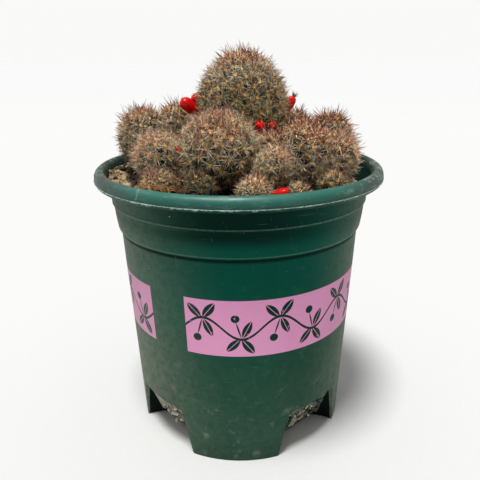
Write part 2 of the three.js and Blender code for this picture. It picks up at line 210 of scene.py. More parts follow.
class Nodes:
    # a node tree; its calls give sockets, so that they nest

    def __init__(self, tree):
        self.tree = tree

    def feed(self, socket, value):
        if isinstance(value, bpy.types.NodeSocket):
            self.tree.links.new(value, socket)
        elif value is not None:
            socket.default_value = value

    def add(self, kind, *values, output=0, **settings):
        node = self.tree.nodes.new("ShaderNode" + kind)
        for key, value in settings.items():
            setattr(node, key, value)
        for socket, value in zip(node.inputs, values):
            self.feed(socket, value)
        return node.outputs[output]

    def calc(self, operation, *values):
        return self.add("Math", *values, operation=operation)

    def times(self, first, *others):
        for other in others:
            first = self.calc("MULTIPLY", first, other)
        return first

    def apart(self, first, second):
        return self.calc("ABSOLUTE", self.calc("SUBTRACT", first, second))

    def ramp(self, value, low, high, start=0.0, end=1.0):
        return self.add("MapRange", value, low, high, start, end, interpolation_type="SMOOTHSTEP")

    def split(self, vector):
        return [self.add("SeparateXYZ", vector, output=k) for k in range(3)]

    def scaled(self, vector, scale):
        return self.add("VectorMath", vector, scale, operation="MULTIPLY")

    def length(self, vector):
        return self.add("VectorMath", vector, operation="LENGTH", output=1)


class Finish(Nodes):
    # the nodes of one material

    def __init__(self, name, colour, roughness, specular=None):
        self.material = bpy.data.materials.new(name)
        self.material.use_nodes = True
        self.material.diffuse_color = tint(*colour)
        super().__init__(self.material.node_tree)
        self.set(Base_Color=tint(*colour), Roughness=roughness, Specular_IOR_Level=specular)

    def set(self, **sockets):
        for key, value in sockets.items():
            self.feed(self.tree.nodes["Principled BSDF"].inputs[key.replace("_", " ")], value)

    def mixed(self, share, first, second):
        # a colour is a socket, or red, green and blue as they look on screen
        node = self.tree.nodes.new("ShaderNodeMix")
        node.data_type = "RGBA"
        for index, value in ((0, share), (6, first), (7, second)):
            self.feed(node.inputs[index], tint(*value) if isinstance(value, tuple) else value)
        return node.outputs[2]

    def blend(self, value, low, high, first, second):
        return self.mixed(self.ramp(value, low, high), first, second)

    def place(self):
        # where a point is, in millimetres
        return self.scaled(self.add("TexCoord", output=3), (1 / metre,) * 3)

    def noise(self, where, size, detail=2.0, contrast=0.5):
        return self.add("TexNoise", where, None, 1 / size, detail, contrast)

    def mark(self, name):
        return self.add("Attribute", output=2, attribute_name=name)

    def bumpWith(self, height, strength, depth):
        node = self.tree.nodes.new("ShaderNodeBump")
        for key, value in (("Strength", strength), ("Distance", depth * metre), ("Height", height)):
            self.feed(node.inputs[key], value)
        return node.outputs[0]


camera = dict(at=(0.243, -228.916, 165.334), pitch=19.455, roll=-0.604, lens=38.967, sensor=36,
              clip=(0.01, 50))


def addCamera():
    data = bpy.data.cameras.new("camera")
    data.lens, data.sensor_width = camera["lens"], camera["sensor"]
    data.clip_start, data.clip_end = camera["clip"]
    seen = shown("camera", data)
    turn = (Matrix.Rotation(math.radians(90 - camera["pitch"]), 4, "X")
            @ Matrix.Rotation(math.radians(camera["roll"]), 4, "Z"))
    seen.matrix_world = Matrix.Translation(Vector(camera["at"]) * metre) @ turn
    bpy.context.scene.camera = seen


# the sky's strength behind, before and over the object, and the directions in which it changes
lights = dict(skyBack=0.95, skyFront=0.26, skyTop=0.62, depths=(-0.6, 0.6), heights=(0.15, 0.7),
              sunAt=(-0.12, -0.22, 1.0), sunStrength=4.6, sunSpread=15)


def addLights():
    data = bpy.data.lights.new("sun", "SUN")
    data.energy = lights["sunStrength"]
    data.angle = math.radians(lights["sunSpread"])
    shown("sun", data).rotation_euler = (-Vector(lights["sunAt"])).to_track_quat("-Z", "Y").to_euler()
    world = bpy.data.worlds.new("studio")
    bpy.context.scene.world = world
    world.use_nodes = True
    sky = Nodes(world.node_tree)
    side, deep, high = sky.split(sky.add("TexCoord"))
    level = sky.ramp(deep, *lights["depths"], lights["skyFront"], lights["skyBack"])
    low = sky.ramp(high, *lights["heights"], 1, 0)
    background = world.node_tree.nodes["Background"].inputs
    sky.feed(background["Strength"], sky.add("Mix", low, None, lights["skyTop"], level))
    background["Color"].default_value = (1, 1, 0.99, 1)


paper = dict(near=(185, 185, 184), far=(182, 182, 182), fade=(200, 2500), grain=3.0, grainShare=0.04,
             reach=20000)


def addFloor():
    finish = Finish("paper", paper["near"], 0.9, 0.02)
    where = finish.place()
    away = finish.ramp(finish.length(where), *paper["fade"])
    plain = finish.mixed(away, paper["near"], paper["far"])
    share = finish.ramp(away, 0, 0.4, paper["grainShare"], 0)
    grain = finish.times(finish.noise(where, paper["grain"], 3), share)
    finish.set(Base_Color=finish.mixed(grain, plain, (0, 0, 0)))
    reach = paper["reach"]
    floor = helperOf("floor", [(x * reach, y * reach, 0) for x, y in ((-1, -1), (1, -1), (1, 1), (-1, 1))],
                     [(0, 1, 2, 3)])
    floor.data.materials.append(finish.material)


addCamera()
addLights()
addFloor()
bpy.context.scene.view_settings.view_transform = "Standard"
print("camera, light and floor done")


pot = dict(
    sides=240, wall=1.4, footRadius=48.3, feet=4, feetTurn=-3.4,
    floorRadius=39.3, floorLift=1.8, floorStep=0.5, bevel=0.32, bevelFrom=38, sharpFrom=40,
    # the heights at which the finish changes, and the gap that the soil keeps from the wall
    skirtZ=115.4, beadZ=107.5, stepZ=96.3, gap=0.3,
    # the room is cut out straight up from the mouth, which starts at the first of these heights
    mouth=57.6, mouthTops=(119, 130),
    # the outside, from the floor up to the underside of the rim
    outside=[(48.3, 0), (48.9, 12), (50.0, 35), (51.1, 58), (52.0, 75), (52.85, 93.9), (52.95, 95.0),
             (53.6, 95.6), (54.1, 96.6), (54.4, 98.4), (54.75, 101), (55.05, 104), (55.3, 106.6),
             (55.75, 107.0), (55.95, 107.5), (55.85, 108.0), (56.0, 108.9), (56.5, 111.2), (57.1, 113.4),
             (57.9, 116.2)],
    # over the rolled rim, from the underside to the lip inside
    rim=[(58.5, 118.1), (60.2, 118.4), (60.9, 117.9), (60.95, 116.2), (61.05, 115.5), (61.5, 115.35),
         (62.0, 115.7), (62.35, 116.4), (62.5, 117.2), (62.5, 118.2), (62.3, 119.2), (61.95, 120.0),
         (61.4, 120.65), (60.75, 121.1), (60.1, 121.28), (59.4, 121.2), (58.8, 120.85), (58.25, 120.3),
         (57.85, 119.6), (57.6, 118.7)],
    inside=[(46.97, 1.4), (47.7, 14), (49.7, 58), (51.5, 94.9), (52.4, 96.6), (52.9, 98.3), (53.5, 101),
            (54.0, 105.5), (54.5, 108.3), (55.6, 113), (56.7, 116.7), (57.3, 118.2)],
)
# angles are in degrees; the cutters reach below the floor and beyond the wall; ends says how the ends of
# a slot are rounded, as shares of its height and width
notch = dict(angle=40.5, topAngle=27, height=22.4, depth=8.7, flare=47.5, flareTop=9.5, corner=1.4,
             below=3, beyond=9, lift=0.4, roof=2, roofDrop=1.8, lip=1.1, slots=4, slotWidth=3.6, slotZ=4.6,
             slotHeight=9.5, slotTurn=8, slotIn=2.6, ends=((0, 0.72), (0.09, 1), (0.91, 1), (1, 0.72)))


def notchTurn(foot):
    return pot["feetTurn"] + (foot + 0.5) * 360 / pot["feet"]


def slotTurns():
    return [(slot - (notch["slots"] - 1) / 2) * notch["slotTurn"] for slot in range(notch["slots"])]


def panelLine():
    # the sloping back of a notch: its radius at the floor, and how much it gains with each millimetre up
    rise = notch["height"] - notch["roofDrop"] - pot["floorLift"] - notch["lift"]
    return pot["footRadius"] - notch["depth"], (notch["depth"] - notch["roof"]) / rise


def inNotches(name, points, degrees=(0,)):
    # convex cutters in every notch, round the same points and the mirror images of those beside its middle
    pointSets = []
    for angle in (notchTurn(foot) + more for foot in range(pot["feet"]) for more in degrees):
        turn = Matrix.Rotation(math.radians(angle), 3, "Z")
        pointSets.append([turn @ Vector((side * x, y, z)) for x, y, z in points
                          for side in ((-1, 1) if x else (1,))])
    return hullOf(name, pointSets)


def notchCutters(name, grow):
    # the wedges that the drain notches take out of the base, moved outwards on request
    half, crown, flare = (math.radians(notch[key] / 2) for key in ("angle", "topAngle", "flare"))
    outer, top, below = pot["footRadius"], notch["height"] + grow, -notch["below"]
    inner, low = outer - notch["depth"] - grow, pot["floorLift"] + notch["lift"]
    roof, beyond = outer - notch["roof"] - grow, outer + notch["beyond"]
    middle, lip = (half + crown) / 2, top - notch["lip"]
    rings = [(inner, below, half), (inner, low, half), (roof, top - notch["roofDrop"], crown),
             (outer + 1, top, crown), (outer + 1, lip, middle), (beyond, below, flare),
             (beyond, notch["flareTop"], half), (beyond, top * 0.7, half), (beyond, lip, middle),
             (beyond, top, crown)]
    sides = [(radius * math.sin(angle) + grow, -radius * math.cos(angle), z) for radius, z, angle in rings]
    return inNotches(name, [(0, -inner, below), (0, -inner, low)] + sides)


def cornerCutters():
    # what takes the sharp bottom corners off the feet, along both sides of each notch
    half, flare = (math.sin(math.radians(notch[key] / 2)) for key in ("angle", "flare"))
    inner, outer = pot["footRadius"] - notch["depth"], pot["footRadius"] + notch["beyond"]
    share = (notch["flareTop"] - notch["corner"]) / (notch["flareTop"] + notch["below"])
    return inNotches("cornerCut", [
        (x + more, -radius * math.sqrt(1 - half ** 2), z)
        for radius, x in ((inner, inner * half), (outer, outer * (half + (flare - half) * share)))
        for z, more in ((-notch["below"], notch["corner"] + notch["below"]), (notch["corner"], 0))])


def slotCutters():
    middle, half = pot["footRadius"] - notch["depth"] + notch["slotIn"], notch["depth"] / 2
    return inNotches("slotCut", [
        (width * notch["slotWidth"] / 2, y, notch["slotZ"] + z * notch["slotHeight"])
        for y in (-middle - half, -middle + half) for z, width in notch["ends"]], slotTurns())


# the printed band: its height, where it starts and ends round the pot in degrees, and the vine drawn on it,
# whose leaves and twig are a tail, a tip and a width
band = dict(
    low=53.6, high=78.4, start=-24.8, end=316.1, radius=51.4, cells=20, wave=4.6, stem=0.6, edge=0.1,
    leaves=[((7.6, 4.6), (12.6, 11.2), 3.6), ((7.0, 4.4), (1.4, 10.2), 3.4),
            ((7.8, 4.0), (11.4, -3.6), 3.2)],
    rib=(0.12, 0.34), bud=(5.0, -4.6), budSize=1.7, twig=((7.4, 4.2), (5.2, -3.4), 0.7),
)


def bandPrint(finish, turn, high):
    # a running vine of half waves, every other one upside down; gives the share of ink and of the band
    calc, ramp, times = finish.calc, finish.ramp, finish.times
    perDegree, edge = band["radius"] * math.pi / 180, band["edge"]
    wide, tall = (band["end"] - band["start"]) * perDegree, (band["high"] - band["low"]) / 2
    half = wide / band["cells"]
    along = times(calc("MODULO", calc("ADD", turn, 360 - band["start"]), 360), perDegree)
    cell = calc("DIVIDE", along, half)
    across = times(calc("FRACT", cell), half)
    flip = calc("SUBTRACT", 1, times(calc("MODULO", calc("FLOOR", cell), 2), 2))
    up = calc("SUBTRACT", high, (band["low"] + band["high"]) / 2)
    spot = finish.add("CombineXYZ", across, times(up, flip))
    wave = times(calc("SINE", times(across, math.pi / half)), band["wave"])
    ink = ramp(finish.apart(finish.split(spot)[1], wave), band["stem"] + edge, band["stem"] - edge)

    def reachOf(point):
        return finish.add("VectorMath", spot, (*point, 0), operation="DISTANCE", output=1)

    for tail, tip, size in band["leaves"] + [band["twig"]]:
        # a leaf is what two discs share, with a bare rib between them
        tail, tip = Vector(tail), Vector(tip)
        way, middle = tip - tail, (tip + tail) / 2
        radius = (way.length ** 2 / 4 + size ** 2 / 4) / size
        aside = Vector((-way.y, way.x)).normalized() * (radius - size / 2)
        reaches = [reachOf(middle + aside * side) for side in (-1, 1)]
        leaf = ramp(calc("MAXIMUM", *reaches), radius + edge, radius - edge)
        if size > 1:
            leaf = times(leaf, ramp(finish.apart(*reaches), *band["rib"]))
        ink = calc("MAXIMUM", ink, leaf)
    bud = ramp(reachOf(band["bud"]), band["budSize"] + edge, band["budSize"] - edge)
    inside = ramp(calc("ABSOLUTE", up), tall + edge, tall - edge)
    ends = times(ramp(along, 0, 2 * edge), ramp(along, wide, wide - 2 * edge))
    return calc("MAXIMUM", ink, bud), times(inside, ends)


# base, rim, shade and dark hold painted shade, and the first dust tint also stands for painted sheen at the
# sides
potTints = dict(
    wall=((2, 68, 52), (8, 80, 68)), base=((3, 58, 43), (6, 68, 52)), rimTop=((18, 82, 70), (36, 94, 82)),
    rim=((5, 54, 45), (20, 30, 23)), band=((214, 142, 184), (224, 158, 196)), ink=(8, 50, 40),
    dust=((134, 138, 122), (128, 140, 124), (150, 156, 138)), shade=((1, 26, 19), (1, 20, 14)),
    scratch=((120, 156, 138), (130, 160, 146), (150, 172, 156)), worn=(110, 144, 124),
    dark=((3, 34, 27), (2, 14, 11)), panel=((22, 42, 32), (132, 134, 116)),
    lime=((120, 116, 98), (226, 222, 206)), grit=((176, 192, 176), (150, 172, 154)),
)
# fine scratches, steep and level: how their noise is stretched, and their share; where they start in that
# noise; the height, width and share of the edges that rub; the turn of the long scratch on the rim
potLines = dict(scratches=(((1.6, 1.6, 0.09), 0.13), ((0.08, 0.08, 1.5), 0.16)), scratchFrom=0.69,
                edges=((pot["beadZ"], 0.45, 0.5), (pot["stepZ"], 0.4, 0.42)), longScratch=35)


def potFinish():
    finish = Finish("moulded green plastic", (22, 66, 52), 0.42)
    calc, ramp, times, noise = finish.calc, finish.ramp, finish.times, finish.noise
    mixed, blend = finish.mixed, finish.blend
    tints, where, scratchFrom = potTints, finish.place(), potLines["scratchFrom"]
    across, deep, high = finish.split(where)
    turn = times(calc("ARCTAN2", across, times(deep, -1.0)), 180 / math.pi)
    aside = calc("ABSOLUTE", turn)
    radius = finish.length(finish.add("CombineXYZ", across, deep))
    cloud, grain = noise(where, 30, 3), noise(where, 1.3, 3, 0.6)
    patches, film, speckle = noise(where, 7, 4, 0.6), noise(where, 3.0, 5, 0.7), noise(where, 0.9, 4, 0.8)
    # painted shade: the wall's green darkens towards the bottom
    colour = blend(high, 86, 40, mixed(cloud, *tints["wall"]), mixed(cloud, *tints["base"]))

    def cover(over, *shares):
        nonlocal colour
        colour = mixed(times(*shares), colour, over)

    # the rim is a paler teal than the wall, with painted shade along its foot and at its sides
    rimTintAndShade = blend(high, 116.4, 120.2, tints["rim"][0], mixed(cloud, *tints["rimTop"]))
    rimTintAndShade = mixed(ramp(aside, 29, 63, 0.05, 0.94), rimTintAndShade, tints["rim"][1])
    cover(rimTintAndShade, ramp(high, pot["skirtZ"] - 0.2, pot["skirtZ"] + 0.8, 0, 0.95))

    # the printed band, which is rubbed in places
    ink, printed = bandPrint(finish, turn, high)
    cover(mixed(cloud, *tints["band"]), printed, ramp(grain, 0.82, 0.76))
    cover(tints["ink"], printed, ink, ramp(grain, 0.72, 0.64))

    # dust and painted sheen: a thin film, thicker round the sides and the back, where its paleness also
    # stands for painted sheen, and down at the base
    bare = calc("SUBTRACT", 1, times(printed, 0.3))
    # painted sheen and dust: the film grows with the turn away from the front
    sides = calc("ADD", ramp(turn, -4, -84, 0.0, 0.56), ramp(turn, 28, 88, 0.0, 0.56))
    sides = calc("SUBTRACT", calc("ADD", sides, ramp(high, 90, 0, 0.0, 0.13)), ramp(aside, 84, 120, 0, 0.3))
    cover(tints["dust"][0], sides, ramp(film, 0.2, 0.7, 0.5, 1.2), ramp(high, 117.5, 115, 0.12, 1.0), bare)
    cover(tints["dust"][1], ramp(patches, 0.56, 0.74), ramp(high, 60, 8, 0.05, 0.42))
    cover(tints["dust"][2], ramp(speckle, 0.6, 0.75), ramp(aside, 20, 75, 0.1, 0.5), bare)

    # painted shade: under the rim the front is darkened most in its middle, and a painted shadow line runs
    # under the step
    cover(tints["shade"][0], ramp(high, 98, 105), ramp(high, 118.5, 115), ramp(aside, 46, 6, 0.3, 0.9))
    cover(tints["shade"][1], ramp(high, 93.2, 94.6), ramp(high, 96.0, 95.3, 0, 0.9))

    for stretch, amount in potLines["scratches"]:
        lines = noise(finish.scaled(where, stretch), 1.1, 2)
        cover(tints["scratch"][0], ramp(lines, scratchFrom, scratchFrom + 0.08), times(bare, amount))

    # the rim: one long scratch at the left, scuffs at both sides, and a grey film
    onRim = ramp(high, pot["skirtZ"], pot["skirtZ"] + 1.2)
    off = calc("ABSOLUTE", calc("ADD", turn, calc("ADD", potLines["longScratch"], times(grain, 1.4))))
    cover(tints["scratch"][1], onRim, ramp(off, 0.6, 0.2), ramp(speckle, 0.42, 0.56, 0.05, 0.5))
    streaks = noise(finish.scaled(where, (0.35, 0.35, 1.4)), 2.0, 5, 0.75)
    right = times(ramp(turn, 30, 48), ramp(turn, 105, 85))
    left = times(ramp(turn, -60, -75), ramp(turn, -130, -110))
    scuffed = calc("ADD", times(calc("ADD", right, left), 0.26), 0.1)
    cover(tints["scratch"][2], onRim, scuffed, ramp(streaks, 0.52, 0.64))

    # pale edges that rub: the bead and the shoulder, broken up by the grain
    for level, size, amount in potLines["edges"]:
        cover(tints["worn"], ramp(finish.apart(high, level), size, size * 0.4),
              ramp(grain, 0.2, 0.7, 0.3, 1.0), ramp(aside, 0, 60, amount * 0.6, amount))

    # painted shade: the inside of the wall and the pockets of the feet are darkened
    slant = calc("ADD", radius, times(calc("SUBTRACT", 118, high), 0.27))
    cover(tints["dark"][0], ramp(slant, 57.6, 57.2), ramp(high, 96, 98), 0.9)
    cover(tints["dark"][1], ramp(radius, 47.9, 47.3), ramp(high, 24.5, 23.5), 0.97)
    # the sloping back of each pocket is streaked with lime, most of it at the left
    inner, slope = panelLine()
    back = calc("SUBTRACT", radius, times(high, slope))
    panel = times(ramp(back, inner + 0.9, inner + 0.5), ramp(high, 23.0, 22.0), ramp(high, 2.0, 2.6))
    cover(blend(film, 0.4, 0.62, *tints["panel"]), panel, 0.9)
    cover(mixed(film, *tints["lime"]), panel, ramp(turn, -18, -26), ramp(turn, -84, -76),
          ramp(film, 0.26, 0.34), 0.95)

    # specks of grit, few and large or many and fine
    spots = finish.scaled(where, (1.0, 1.0, 0.8))
    few, many = (finish.add("TexVoronoi", spots, None, 1 / size, output=0) for size in (9.0, 3.4))
    cover(tints["grit"][0], ramp(few, 0.03, 0.02), ramp(patches, 0.45, 0.5))
    cover(tints["grit"][1], ramp(many, 0.05, 0.03, 0, 0.4), ramp(film, 0.45, 0.6), bare)

    # the wall is dull with dust; the rim still shines
    finish.set(Base_Color=colour, Roughness=ramp(patches, 0.3, 0.7, 0.38, 0.5),
               Specular_IOR_Level=times(ramp(high, 115.5, 117, 0.025, 0.36), ramp(aside, 40, 80, 1, 0.2)),
               Normal=finish.bumpWith(noise(where, 0.8, 2), 0.12, 0.1))
    return finish.material


def wornFinish():
    finish = Finish("rubbed plastic edge", (84, 108, 88), 0.7, 0.1)
    where = finish.place()
    pale = finish.blend(finish.noise(where, 1.5, 3, 0.6), 0.35, 0.65, (50, 84, 64), (150, 156, 138))
    finish.set(Base_Color=finish.blend(finish.split(where)[2], 60, 70, pale, (10, 60, 48)))
    return finish.material


def flashFinish():
    finish = Finish("pale torn plastic", (104, 142, 126), 0.6, 0.2)
    grain = finish.noise(finish.place(), 1.1, 3, 0.7)
    finish.set(Base_Color=finish.blend(grain, 0.35, 0.62, (60, 110, 96), (132, 164, 148)))
    return finish.material


def addPot():
    sides, low = pot["sides"], pot["floorLift"] + pot["wall"]
    mouthFrom, mouthTop = pot["mouthTops"]
    body = lathed("potBody", [(0, pot["floorLift"]), (pot["floorRadius"], pot["floorLift"]),
                              (pot["floorRadius"] + pot["floorStep"], 0)] + pot["outside"] + pot["rim"]
                  + [(0, pot["rim"][-1][1])], sides)
    room = lathed("potRoom", [(0, low), (pot["floorRadius"], low),
                              (pot["floorRadius"] + pot["floorStep"], pot["inside"][0][1])] + pot["inside"]
                  + [(pot["mouth"], mouthFrom), (pot["mouth"], mouthTop), (0, mouthTop)], sides)
    roomCut, notchCut = notchCutters("notchRoom", pot["wall"]), notchCutters("notchCut", 0)
    slotCut, cornerCut = slotCutters(), cornerCutters()
    cutWith(room, [roomCut])
    cutWith(body, [notchCut, room, slotCut, cornerCut])
    bevel = body.modifiers.new("edges", "BEVEL")
    bevel.width = pot["bevel"] * metre
    bevel.segments = 2
    bevel.limit_method = "ANGLE"
    bevel.angle_limit = math.radians(pot["bevelFrom"])
    bevel.material = 1
    mesh = finalMesh(body, [roomCut, notchCut, slotCut, cornerCut, room], "pot_shell", pot["sharpFrom"])
    pieceOf(mesh, [potFinish(), wornFinish()], ["pot"])
    print("pot done:", len(mesh.polygons), "faces")


# the mould's thin parting line round the rim, with torn tabs; turns are in degrees from the front; each
# row of tabs is how many, where, their half widths and their drops, and out is how far they stand out; the
# nick is the turn, half width, reach and drop of the largest
flash = dict(radius=62.42, z=116.9, root=0.5, reach=0.3, thick=0.34, sides=900, seed=17, out=0.08,
             ripples=(17, 31, 53, 89), nick=(-88.5, 4.2, 1.5, 1.8),
             tabs=((34, (-62, 14), (0.35, 1.1), (0.08, 0.36)), (40, (-180, 180), (0.3, 0.9), (0.08, 0.25))))


def addFlash():
    rng = np.random.default_rng(flash["seed"])
    sides, radius, z, root = flash["sides"], flash["radius"], flash["z"], flash["root"]
    turns = np.linspace(-180, 180, sides, endpoint=False)
    ripple = sum(rng.uniform(0.3, 1) * np.sin(np.radians(turns) * k + rng.uniform(0, 6.28))
                 for k in flash["ripples"])
    out = flash["reach"] * (0.75 + 0.12 * ripple + rng.uniform(-0.16, 0.28, sides))
    low = flash["thick"] * (0.5 + 0.1 * ripple + rng.uniform(-0.15, 0.2, sides))
    tabs = []
    for count, reach, wide, drop in flash["tabs"]:
        tabs += [(rng.uniform(*reach), rng.uniform(*wide), flash["out"], rng.uniform(*drop))
                 for tab in range(count)]
    for at, half, more, drop in tabs + [flash["nick"]]:
        shape = np.clip(1 - (np.abs(turns - at) / half) ** 2, 0, 1) ** 0.5
        out, low = out + more * shape, low + drop * shape
    points = np.concatenate([around(wide, np.radians(turns), level) for wide, level in (
        (radius - root, z + 0.25), (radius + out, z + 0.05), (radius + out * 0.8, z - low),
        (radius - root, z - 0.3))])
    here = np.arange(sides)
    after = (here + 1) % sides
    quads = np.concatenate([
        np.stack([a * sides + here, b * sides + here, b * sides + after, a * sides + after], 1)
        for a, b in ((0, 1), (1, 2), (2, 3), (3, 0))])
    pieceOf(meshOf("rim_flash", points, [quads], {}), [flashFinish()])
    print("rim flash done")


addPot()
addFlash()


# each head: middle, half width, height above and below the middle, lean of its crown, the spacing of its
# areoles, how far its young red spines reach, in degrees from the crown, and how much painted shade its
# spines carry, all over and low on its flanks; below zero is painted light
headTable = dict(
    head_top=((1.8, 8, 138.2), 18.6, 26.8, 23.2, (0, -0.05), 5.0, 34, -0.06, -0.1),
    head_front=((-7.8, -24, 130), 13.5, 12.8, 15, (0, -0.62), 4.8, 48, -0.16, 0.8),
    head_right=((25.8, -16, 127.8), 9.8, 10.4, 13, (0.3, -0.3), 4.1, 66, 0, -1.4),
    head_right_back=((40.8, 8, 130), 8.6, 9, 16, (0.2, 0), 4.0, 95, 0.22, 0),
    head_right_far=((40.6, -10, 124.4), 8.4, 8.8, 10, (0.25, -0.25), 4.0, 80, -0.26, -0.6),
    head_right_low=((37, -27.6, 116), 4.8, 4.4, 5, (0.3, -0.5), 3.2, 20, 0.2, 0.8),
    head_mid_right=((12.8, -34.6, 126), 5, 5.4, 11, (0.4, -0.3), 3.4, 56, -0.26, 0),
    head_middle=((13.5, -15, 124.4), 7.6, 10, 10, (0.1, -0.3), 4.2, 40, 0, 0.6),
    head_bump=((26.6, 18, 129), 7, 10.4, 15, (0.05, 0), 4.0, 90, 0.08, 0.1),
    head_front_low=((5.5, -45.3, 117), 5, 5.6, 5, (0.25, -0.3), 3.2, 50, -0.2, 0.1),
    head_tiny=((21.8, -43.5, 116.6), 3, 3.4, 4, (0.1, -0.3), 2.7, 20, -0.1, 0.2),
    head_front_left=((-16.4, -38.6, 118.6), 6.2, 4.6, 5, (-0.1, -0.5), 4.2, 8, 0.5, 0.9),
    head_left_low=((-30.4, -36.8, 117.8), 6, 5, 5, (-0.3, -0.4), 3.4, 20, -0.1, 0.6),
    head_left_front=((-32.4, -19, 126.8), 8.2, 8.2, 11, (-0.45, -0.4), 4.0, 72, -0.3, 0.1),
    head_left=((-40.6, 2, 131.8), 9.8, 10.4, 15, (-0.3, -0.1), 4.3, 50, 0.15, 0.3),
    head_left_back=((-28, 15, 130), 8.4, 13, 16, (-0.1, 0), 4.2, 50, 0, 0.15),
    head_left_middle=((-23, -4, 123), 7, 8, 9, (-0.2, -0.2), 4.0, 80, 0.1, 0.4),
    head_back_left=((-24, 33, 125.6), 8.8, 9.6, 11, (-0.2, 0.3), 4.2, 60, 0, 0.15),
    head_back=((2, 38, 124), 9.8, 10.4, 11, (0, 0.35), 4.4, 60, 0, 0.15),
    head_back_right=((26, 36, 123), 8.2, 8.8, 10, (0.2, 0.3), 4.2, 60, 0, 0.15),
    head_far_left=((-43, 21, 123.6), 7, 7.6, 8, (-0.3, 0.2), 4.0, 70, 0, 0.15),
    head_far_right=((43.6, 24.5, 121.6), 6.8, 7.6, 9, (0.3, 0.2), 4.0, 70, 0, 0.15),
)
headKeys = ("at", "wide", "up", "down", "lean", "spacing", "young", "dull", "dullLow")
heads = {name: dict(zip(headKeys, row)) for name, row in headTable.items()}

growth = dict(
    tubercle=2.3, valley=1.15, tubercleWidth=0.62, fullSpacing=4.6, crownCrowding=1.3, crowdAngle=38,
    seed=700, woolRadius=0.66, contactGap=0.12, rimRadius=57.2, rimZ=122.4, dimFrom=74, dimOver=40, heart=9,
    # how far areoles stray down and round, how far their axes tilt, the room and length that they need at
    # least, the least share of its width that a head keeps, and how finely its body is divided
    stray=(0.012, 0.04), axisTilt=0.13, leastRoom=0.15, leastLength=0.25, leastShare=0.4,
    level=5, fineFrom=12,
    # spines that cross the rim are shortened in this many steps by this share
    rimSteps=24, rimShare=0.92,
)
# each kind of spine: how many on an areole, how long and thick, and how far it leans from the areole's axis
radialSpines = dict(count=38, length=1.1, root=0.088, tip=0.04, leanLow=44, leanHigh=88, curl=0.24,
                    slack=1.8, low=0.55, high=1.2, byAreole=True, young=0.0, rise=0.05, steps=(0, 0.5))
centralSpines = dict(count=8, length=4.6, root=0.18, tip=0.07, leanLow=2, leanHigh=56, curl=0.1, slack=2.4,
                     low=0.45, high=1.45, byAreole=False, young=0.4, rise=0.05, steps=(0, 0.35, 0.7))
goldenRays = dict(count=13, length=0.88, root=0.25, tip=0.16, leanLow=10, leanHigh=86, curl=0.05, slack=1.4,
                  low=0.6, high=1.2, byAreole=False, young=0.0, rise=0.5, steps=(0, 0.5))
# the wool of an areole: rings of a width and height as shares of its radius, and its tip
woolShape = dict(sides=7, rings=((1.0, -0.35), (0.85, 0.25), (0.4, 0.52)), tip=0.6)
# the soil's level in the middle, and how it falls towards the right
soilShape = dict(z=115.0, tilt=-0.065)


def soilLevel(x):
    return soilShape["z"] + soilShape["tilt"] * x


def setFrames():
    # each head's own directions and the line that its body is grown round
    for head in heads.values():
        head["middle"] = np.array(head["at"], float)
        head["crown"] = unit((*head["lean"], 1))
        across = unit(np.cross((0, 1, 0), head["crown"]))
        head["axes"] = np.array([across, np.cross(head["crown"], across), head["crown"]])
        head["core"] = [head["middle"] - head["crown"] * max(0, head["down"] - head["wide"]),
                        head["middle"] + head["crown"] * max(0, head["up"] - head["wide"])]
        head["scale"] = min(1, head["spacing"] / growth["fullSpacing"])


def spanOf(head, heights):
    # the half sizes of a head in its own directions, for points over or under its middle
    long = np.where(heights > 0, head["up"], head["down"])
    return np.stack([np.full(len(long), head["wide"])] * 2 + [long], 1)


def onCore(head, point):
    start, end = head["core"]
    along = end - start
    share = np.dot(point - start, along) / max(np.dot(along, along), 1e-9)
    return start + along * min(max(share, 0), 1)


def contactPlanes(name):
    # the planes that a head keeps behind, where it is pressed against its neighbours and the soil
    head, normals, distances, least = heads[name], [], [], growth["leastShare"]
    for other in (heads[key] for key in heads if key != name):
        here = head["middle"]
        for step in range(30):
            there = onCore(other, here)
            here = onCore(head, there)
        apart = np.linalg.norm(there - here)
        normal = (there - here) / apart
        even = (apart ** 2 + head["wide"] ** 2 - other["wide"] ** 2) / (2 * apart)
        share = min(max(even, least * head["wide"]), apart - least * other["wide"])
        normals.append(normal)
        distances.append(np.dot(normal, here) + share - growth["contactGap"])
    down = unit((soilShape["tilt"], 0, -1))
    normals.append(down)
    distances.append(np.dot(down, (0, 0, soilShape["z"])))
    return np.array(normals), np.array(distances)


def areolesOf(head, rng):
    # points on a spiral from the crown down, closer together at the crown, with their normals
    angles = np.linspace(0, math.pi, 181)
    high = np.cos(angles) * np.where(np.cos(angles) > 0, head["up"], head["down"])
    wide = np.sin(angles) * head["wide"]
    slant = np.hypot(np.diff(high), np.diff(wide))
    crowd = 1 + growth["crownCrowding"] * np.exp(-(np.degrees(angles[1:]) / growth["crowdAngle"]) ** 2)
    areas = np.concatenate([[0], np.cumsum(slant * math.pi * (wide[1:] + wide[:-1]) * crowd)])
    count = int(round(areas[-1] / (head["spacing"] ** 2 * math.sqrt(0.75))))
    wanted = areas[-1] * (np.arange(count) + 0.5) / count
    strayDown, strayRound = growth["stray"]
    angle = np.interp(wanted, areas, angles) + rng.normal(0, strayDown, count)
    # each areole is a golden angle on from the last
    turn = np.arange(count) * math.pi * (3 - math.sqrt(5)) + rng.normal(0, strayRound, count)
    span = spanOf(head, np.cos(angle))
    local = np.stack([np.sin(angle) * np.cos(turn), np.sin(angle) * np.sin(turn), np.cos(angle)], 1) * span
    return local @ head["axes"] + head["middle"], unit(local / span ** 2) @ head["axes"], np.degrees(angle)


def roomFor(points, aims, lengths, planes, slack):
    # how far each needle or ray may go before it meets a plane
    normals, distances = planes
    speed = aims @ normals.T
    left = distances + slack - points @ normals.T
    limit = np.where(speed > 1e-6, left / np.maximum(speed, 1e-6), 1e9).min(1)
    return np.minimum(lengths, np.maximum(limit, 0))


